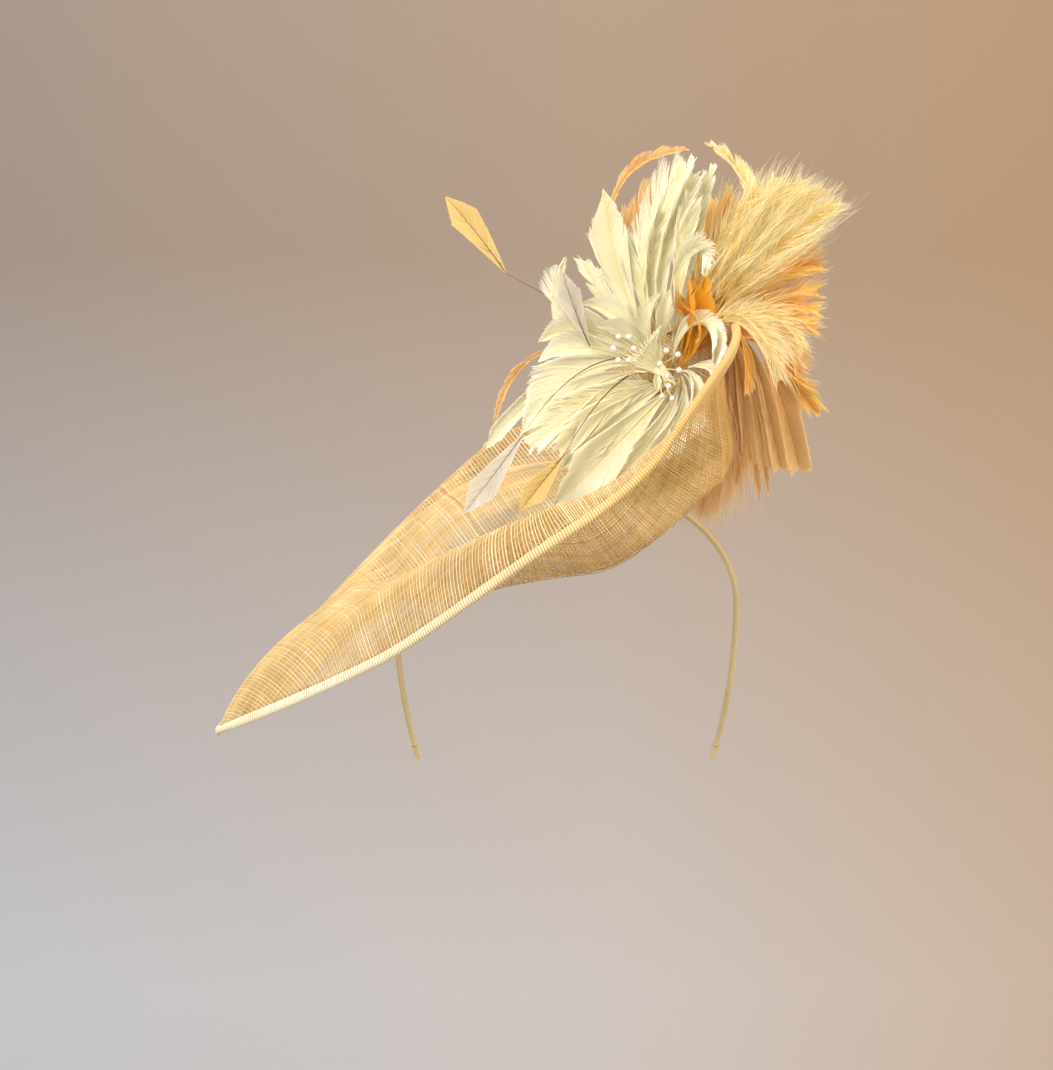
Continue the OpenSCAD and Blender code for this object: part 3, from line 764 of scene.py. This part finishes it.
bunch("trumpet_rolled", "trumpet", "trumpet_feather", 19, [
    ([(50, 50), (62, 58), (60, 72), (49, 83)], -0.42, 14, PETAL,
     dict(roll=(40, 70), cup=0.7, tint=(0.05, 0.6))),
    ([(50, 50), (56, 60), (57, 76), (53, 90)], -0.34, 14, PETAL, dict(roll=(-20, -50), cup=0.6)),
    ([(49, 52), (54, 64), (58, 76), (62, 92)], -0.2, 14, PETAL, dict(roll=(0, -20), cup=0.4)),
])
bunch("arched_feathers_fine", "gold", "arched_feathers", 20, [
    ([(32, 62), (4, 128), (26, 147), (55, 148)], 0.06, 4.5, SPLIT, dict(bare=0.5, quill=0.35)),
    ([(38, 60), (24, 100), (26, 134), (51, 130)], 0.05, 8, SPLIT, dict(bare=0.3)),
    ([(40, 60), (31, 90), (28, 108), (33, 125)], 0.1, 10, SPLIT, dict(bare=0.3)),
])
bunch("bright_curl", "lemon", "arched_feathers", 21, [
    ([(56, 60), (80, 92), (99, 133), (62, 151)], 0.06, 6, SPLIT, dict(bare=0.45, waver=1.0)),
])
bunch("side_arch_fine", "gold", "side_arch_feathers", 22, [
    ([(20, 52), (-8, 70), (-29, 52), (-32.6, 23)], 0.1, 3.2, SPLIT, dict(bare=0.3, quill=0.3)),
])
bunch("side_band_soft", "ivory", "side_arch_feathers", 23, [
    ([(22, 52), (-6, 50), (-22, 32), (-37, 14)], -0.02, 7, PETAL, dict(shape="strap", until=0.97)),
])
bunch("hackle_spray_fluffy", "lemon", "hackle_spray", 24,
      scatter(3, 11, (56, 60), [((58, 84), (72, 78)), ((68, 116), (96, 100))],
              [(86, 132), (102, 133), (112, 131), (122, 121)], (0.0, 0.25), (15, 20), PLUME)
      + scatter(4, 4, (58, 62), [((70, 78), (74, 80)), ((86, 68), (96, 78))],
                [(91, 43), (98, 54), (110, 64)], (-0.55, -0.4), (10, 14), PLUME))
bunch("amber_curls_loose", "amber", "amber_curls", 25,
      scatter(5, 10, (57, 58), [((62, 84), (74, 70)), ((88, 112), (96, 72))],
              [(100, 118), (112, 112), (114, 98), (113, 84), (112, 70), (103, 58)], (0.3, 0.5), (14, 20),
              HACKLE)
      + scatter(6, 5, (52, 58), [((52, 84), (62, 84)), ((60, 104), (74, 104))],
                [(58, 122), (70, 128), (84, 122), (92, 112)], (0.15, 0.35), (16, 20), HACKLE))
bunch("curled_wisps_bright", "amber", "curled_wisps", 26, [
    ([(60, 58), (80, 84), (106, 66), (104, 46)], 0.45, 9, SPLIT, dict(bare=0.4, waver=2.0)),
    ([(60, 58), (84, 80), (100, 46), (115, 30)], 0.5, 9, SPLIT, dict(bare=0.4, waver=2.0)),
    ([(60, 58), (80, 80), (92, 52), (113, 40)], 0.45, 8, SPLIT, dict(bare=0.4, waver=2.0, roll=(0, 60))),
    ([(60, 58), (76, 84), (84, 60), (80, 38)], 0.3, 7, SPLIT, dict(bare=0.4, roll=(0, 60))),
])
bunch("hanging_strips_cut", "gold", "hanging_strips", 27, [
    ([(58, 60), (84, 96), (98, 44), (107, 6)], 0.9, 10, STRIP),
    ([(57, 60), (80, 98), (90, 44), (98, 6)], 0.85, 7, STRIP),
    ([(57, 60), (78, 98), (86, 44), (91, 7)], 0.9, 6, STRIP),
    ([(56, 60), (76, 98), (80, 44), (84, 9)], 0.95, 6, STRIP),
    ([(57, 60), (78, 98), (88, 40), (93, -6)], 1.0, 3.5, SPLIT, dict(bare=0.5)),
    ([(57, 60), (76, 98), (84, 40), (89, -9)], 1.0, 3.5, SPLIT, dict(bare=0.5)),
])
bunch("marabou_down", "tan", "marabou_fluff", 28,
      scatter(7, 11, (52, 60), [((66, 104), (80, 98)), ((68, 44), (86, 40))],
              [(60, -13), (66, -10), (70, -4), (77, 2), (84, 8)], (1.0, 1.7), (14, 18), DOWN))


def long_feather(which, material, seed, foot, bend, neck, tip, slope, width):
    """A trimmed diamond on a long bare quill, which sways on a body of its own."""
    plumage = Plumage(seed)
    plumage.quill(Spine([foot, bend, neck], slope), 0.34, until=1.0)
    middle = [(neck[0] + tip[0]) / 2 + 1.2, (neck[1] + tip[1]) / 2 + 1.2]
    spine = Spine([neck, middle, tip], slope)
    plumage.quill(spine, 0.2)
    plumage.barbs(spine, width, **TRIMMED)
    plumage.piece(which + "_diamond", material, "long_feather_" + which, which + "_feather")


long_feather("upper", "mustard", 31,
             (27.5, 59), (4, 76), (-27, 92), (-54, 126), -0.02, 13)
long_feather("grey", "grey", 32, (30, 54), (4, 56), (-19, 20), (-45, -15), -0.78, 12)
long_feather("gold", "mustard", 33, (27, 46), (12, 36), (-2, 10), (-21, -14), -0.9, 13)

# the quills of the swaying feathers go on into the knot
stubs = Plumage(34)
for route, slope in (([(46, 47), (39, 53), (30, 54)], -0.78), ([(46, 46), (36, 49), (27, 46)], -0.9),
                     ([(40, 52), (34, 56), (27.5, 59)], -0.02)):
    stubs.quill(Spine(route, slope), 0.36, until=1.0)
stubs.piece("knot_quills", "grey")

# ---------------------------------------------------------------- headband
BAND_HALF_WIDTH, BAND_SHOULDER, BAND_DROP = 77.0, 58.0, 128.0
BAND_THICK, BAND_WIDTH, BAND_RAKE = 2.6, 8.0, math.radians(14)
ARM_HEIGHT = 150.0
END_ANGLE = math.pi / 2 + math.asin((BAND_DROP - BAND_SHOULDER) / ARM_HEIGHT)


def band_point(angle, off, across):
    """A point of the band: its angle from the top, its distance off the inside, its place across."""
    x = (BAND_HALF_WIDTH + off) * np.sin(angle)
    drop = np.where(np.cos(angle) >= 0, BAND_SHOULDER + off, ARM_HEIGHT)
    z = -BAND_SHOULDER + drop * np.cos(angle)
    c, s = math.cos(BAND_RAKE), math.sin(BAND_RAKE)
    return np.stack([x + 0 * across, across * c - z * s, across * s + z * c], -1)


def sleeve(side):
    """Half of the satin cover: soft corners, small puckers and a slip-stitched seam on the inside."""
    rings, n = 420, 36
    angle = np.linspace(0, END_ANGLE - 0.02, rings)[:, None]
    phi = (np.arange(n) / n * 2 * math.pi)[None]
    up, out = np.sin(phi), np.cos(phi)
    across = BAND_WIDTH / 2 * np.sign(out) * np.abs(out) ** 0.4
    off = BAND_THICK / 2 * (1 + np.sign(up) * np.abs(up) ** 0.5)
    pucker = 0.045 * np.sin(angle * 70 + 3 * np.sin(angle * 9)) * np.abs(out)
    seam = np.where((np.abs(across) < 0.5) & (up < 0), 0.22 + 0.12 * np.sin(angle * 160), 0)
    wide = across * (1 - 0.01 * np.cos(angle * 70))
    verts = band_point(side * angle, off - pucker * np.sign(up) + seam, wide)
    return verts.reshape(-1, 3), grid_faces(rings, n, closed_columns=True)


for side, arm, nodes in ((1, "left", ("band_cover_crown", "band_cover_left")),
                         (-1, "right", ("band_cover_right",))):
    cover = new_piece("satin_sleeve_" + arm, *sleeve(side), MATERIALS["satin"])
    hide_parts(*nodes)
    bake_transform(cover)

# ---------------------------------------------------------------- stage, lights and camera
# the camera looks along +Y at this point, in metres; the picture is this high at its distance
VIEW_CENTRE = (-0.0181, -0.028, -0.0246)
VIEW_DISTANCE, PICTURE_HEIGHT = 1.5, 0.4783


# the stage, in metres
FLOOR_FRONT, FLOOR_LEVEL = -3.5, -1.3
WALL_BACK, WALL_TOP = 2.2, 3.0
CORNER_RADIUS, STAGE_HALF_WIDTH = 0.6, 4.0


def backdrop():
    """A floor that curves up into a wall, far enough back to clear the camera of rear views; its colour
    is painted light, darker towards the top, paler and cooler towards the bottom, and warmer towards +X.
    """
    s = Shader("backdrop")
    side = s.across(-0.80, 0.80)
    # painted light on the backdrop: darker towards the top, paler and cooler towards the bottom, warmer
    # towards +X
    high = s.ramp(side, [(0.1, linear(150, 138, 130)), (0.55, linear(166, 147, 130)),
                         (1.0, linear(176, 146, 114))])
    low = s.ramp(side, [(0.1, linear(194, 198, 206)), (0.55, linear(204, 200, 200)),
                        (1.0, linear(202, 180, 158))])
    s.colour(s.blend(high, low, s.across(0.29, -0.53, "Z")))
    s.set(Roughness=0.95, Specular_IOR_Level=0.1)
    s.bump(s.noise(120, 4), 0.0004)
    corner_y, corner_z = WALL_BACK - CORNER_RADIUS, FLOOR_LEVEL + CORNER_RADIUS
    profile = [(FLOOR_FRONT, FLOOR_LEVEL), (corner_y, FLOOR_LEVEL)]
    profile += [(corner_y + CORNER_RADIUS * math.sin(a), corner_z - CORNER_RADIUS * math.cos(a))
                for a in np.linspace(0.1, math.pi / 2, 16)]
    profile += [(WALL_BACK, WALL_TOP)]
    verts = np.array([[x, y, z] for y, z in profile for x in (-STAGE_HALF_WIDTH, STAGE_HALF_WIDTH)]) / MM
    return new_piece("backdrop", verts, grid_faces(len(profile), 2), s.material)


backdrop()


def lamp(name, at, aim, size, power, colour):
    """A round soft lamp at a place, turned to shine at another."""
    light = bpy.data.lights.new(name, "AREA")
    light.shape, light.size, light.energy, light.color = "DISK", size, power, colour
    obj = bpy.data.objects.new(name, light)
    bpy.context.scene.collection.objects.link(obj)
    way = np.array(aim, float) - np.array(at, float)
    obj.location = at
    flat = math.hypot(way[0], way[1])
    obj.rotation_euler = (math.pi / 2 + math.atan2(way[2], flat), 0, math.atan2(-way[0], way[1]))


CENTRE = (0.0, -0.03, 0.02)
lamp("window", (-1.1, -1.4, 1.1), CENTRE, 1.1, 42, (1.0, 0.99, 0.97))
lamp("warm_lamp", (1.2, -0.45, 0.75), CENTRE, 0.6, 14, (1.0, 0.78, 0.48))
lamp("front_fill", (0.4, -1.9, -0.1), CENTRE, 1.2, 7, (1.0, 0.95, 0.88))
lamp("wall_lamp", (-0.2, 0.9, 2.1), (-0.2, 2.2, -0.2), 1.0, 24, (1.0, 0.98, 0.95))

world = bpy.data.worlds.new("room")
world.use_nodes = True
world.node_tree.nodes["Background"].inputs["Color"].default_value = (0.93, 0.90, 0.86, 1)
world.node_tree.nodes["Background"].inputs["Strength"].default_value = 0.62
bpy.context.scene.world = world
bpy.context.scene.view_settings.view_transform = "Standard"

camera = bpy.data.objects.new("camera", bpy.data.cameras.new("camera"))
camera.data.sensor_width = 36
camera.data.lens = 36 * VIEW_DISTANCE / PICTURE_HEIGHT
camera.data.clip_start = 0.01
camera.location = (VIEW_CENTRE[0], VIEW_CENTRE[1] - VIEW_DISTANCE, VIEW_CENTRE[2])
camera.rotation_euler = (math.pi / 2, 0, 0)
bpy.context.scene.collection.objects.link(camera)
bpy.context.scene.camera = camera

# ---------------------------------------------------------------- the CAD pieces that stay in sight
FEATHER_SLOTS = {"cream_feather": "ivory", "gold_feather": "gold", "amber_feather": "amber",
                 "grey_feather": "grey"}
for part in frame["record"]["subparts"]:
    node = frame["nodes"].get(part["node"])
    if node is not None:
        slot = part["material_slot"]
        node.data.materials.clear()
        node.data.materials.append(MATERIALS[FEATHER_SLOTS.get(slot, slot)])
